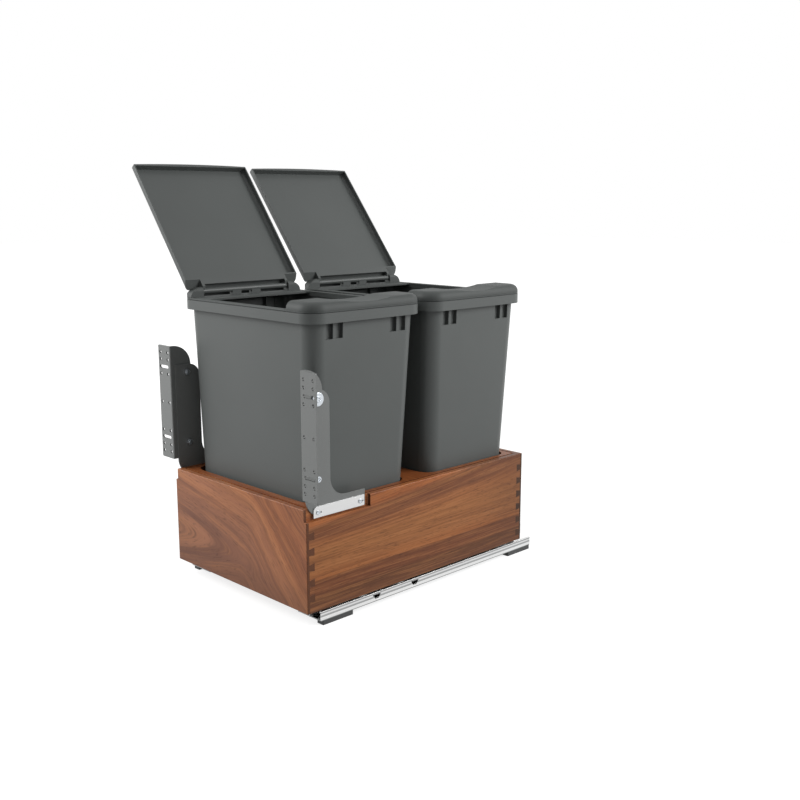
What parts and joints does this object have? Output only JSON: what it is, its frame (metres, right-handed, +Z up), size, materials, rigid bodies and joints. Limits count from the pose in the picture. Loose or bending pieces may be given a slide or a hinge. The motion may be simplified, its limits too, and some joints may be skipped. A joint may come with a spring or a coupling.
{
  "type": "pull-out double waste-bin unit",
  "caption": "Pull-out drawer box on undermount slides with lidded waste bins hung through a cut-out deck and slotted door brackets at the front.",
  "frame": {"origin": "on the floor, in the middle of the four floor screws", "axes": "+X across to the right seen from the door, +Y from the door to the back, +Z up"},
  "size_m": [0.5631, 0.5804, 0.7565],
  "materials": {
    "walnut": "clear gloss lacquer",
    "veneer_panel": "satin lacquer",
    "bin_plastic": "fine moulded texture",
    "lid_frame_plastic": "fine moulded texture",
    "lid_plastic": "fine moulded texture",
    "bracket_paint": "satin powder coat",
    "cover_metal": "brushed",
    "fastener_metal": "bright zinc",
    "rail_metal": "bright zinc plated",
    "saddle_plastic": "natural polymer",
    "housing_plastic": "matt",
    "foot_plastic": "matt"
  },
  "bodies": {
    "cabinet_rails": {"left_cabinet_member": "rail_metal", "left_floor_feet": "foot_plastic", "left_foot_rivets": "fastener_metal", "left_damper_housing": "housing_plastic", "right_cabinet_member": "rail_metal", "right_floor_feet": "foot_plastic", "right_foot_rivets": "fastener_metal", "right_damper_housing": "housing_plastic"},
    "left_middle_rail": {"left_intermediate_member": "rail_metal", "left_bearing_saddles": "saddle_plastic"},
    "right_middle_rail": {"right_intermediate_member": "rail_metal", "right_bearing_saddles": "saddle_plastic"},
    "drawer": {"front_panel": "walnut", "back_panel": "walnut", "bottom_panel": "veneer_panel", "bin_deck": "walnut", "left_side": "walnut", "left_door_angle": "bracket_paint", "left_foot_plate": "bracket_paint", "left_cover_plate": "cover_metal", "left_adjuster_disc": "fastener_metal", "left_bracket_bolts": "fastener_metal", "left_bracket_nuts": "fastener_metal", "left_cover_screws": "fastener_metal", "left_drawer_member": "rail_metal", "left_locking_clip": "housing_plastic", "right_side": "walnut", "right_door_angle": "bracket_paint", "right_foot_plate": "bracket_paint", "right_cover_plate": "cover_metal", "right_adjuster_disc": "fastener_metal", "right_bracket_bolts": "fastener_metal", "right_bracket_nuts": "fastener_metal", "right_cover_screws": "fastener_metal", "right_drawer_member": "rail_metal", "right_locking_clip": "housing_plastic"},
    "front_bin_unit": {"front_bin": "bin_plastic", "front_lid_frame": "lid_frame_plastic"},
    "rear_bin_unit": {"rear_bin": "bin_plastic", "rear_lid_frame": "lid_frame_plastic"},
    "front_lid_unit": {"front_lid": "lid_plastic"},
    "rear_lid_unit": {"rear_lid": "lid_plastic"}
  },
  "joints": [
    {"name": "drawer_slide", "type": "slide", "parent": "cabinet_rails", "child": "drawer", "axis": [0, -1, 0], "range_m": [0, 0.53]},
    {"name": "left_rail_slide", "type": "slide", "parent": "cabinet_rails", "child": "left_middle_rail", "axis": [0, -1, 0], "range_m": [0, 0.265]},
    {"name": "right_rail_slide", "type": "slide", "parent": "cabinet_rails", "child": "right_middle_rail", "axis": [0, -1, 0], "range_m": [0, 0.265]},
    {"name": "front_bin_lift", "type": "slide", "parent": "drawer", "child": "front_bin_unit", "axis": [0, 0, 1], "range_m": [0, 0.17]},
    {"name": "rear_bin_lift", "type": "slide", "parent": "drawer", "child": "rear_bin_unit", "axis": [0, 0, 1], "range_m": [0, 0.17]},
    {"name": "front_lid_hinge", "type": "hinge", "parent": "front_bin_unit", "child": "front_lid_unit", "pos_m": [-0.161, -0.1546, 0.5278], "axis": [0, 1, 0], "range_deg": [0, 127.6]},
    {"name": "rear_lid_hinge", "type": "hinge", "parent": "rear_bin_unit", "child": "rear_lid_unit", "pos_m": [-0.161, 0.1176, 0.5278], "axis": [0, 1, 0], "range_deg": [0, 128.6]}
  ],
  "couplings": [
    {"joint": "left_rail_slide", "follows": "drawer_slide", "ratio": 0.5},
    {"joint": "right_rail_slide", "follows": "drawer_slide", "ratio": 0.5}
  ]
}
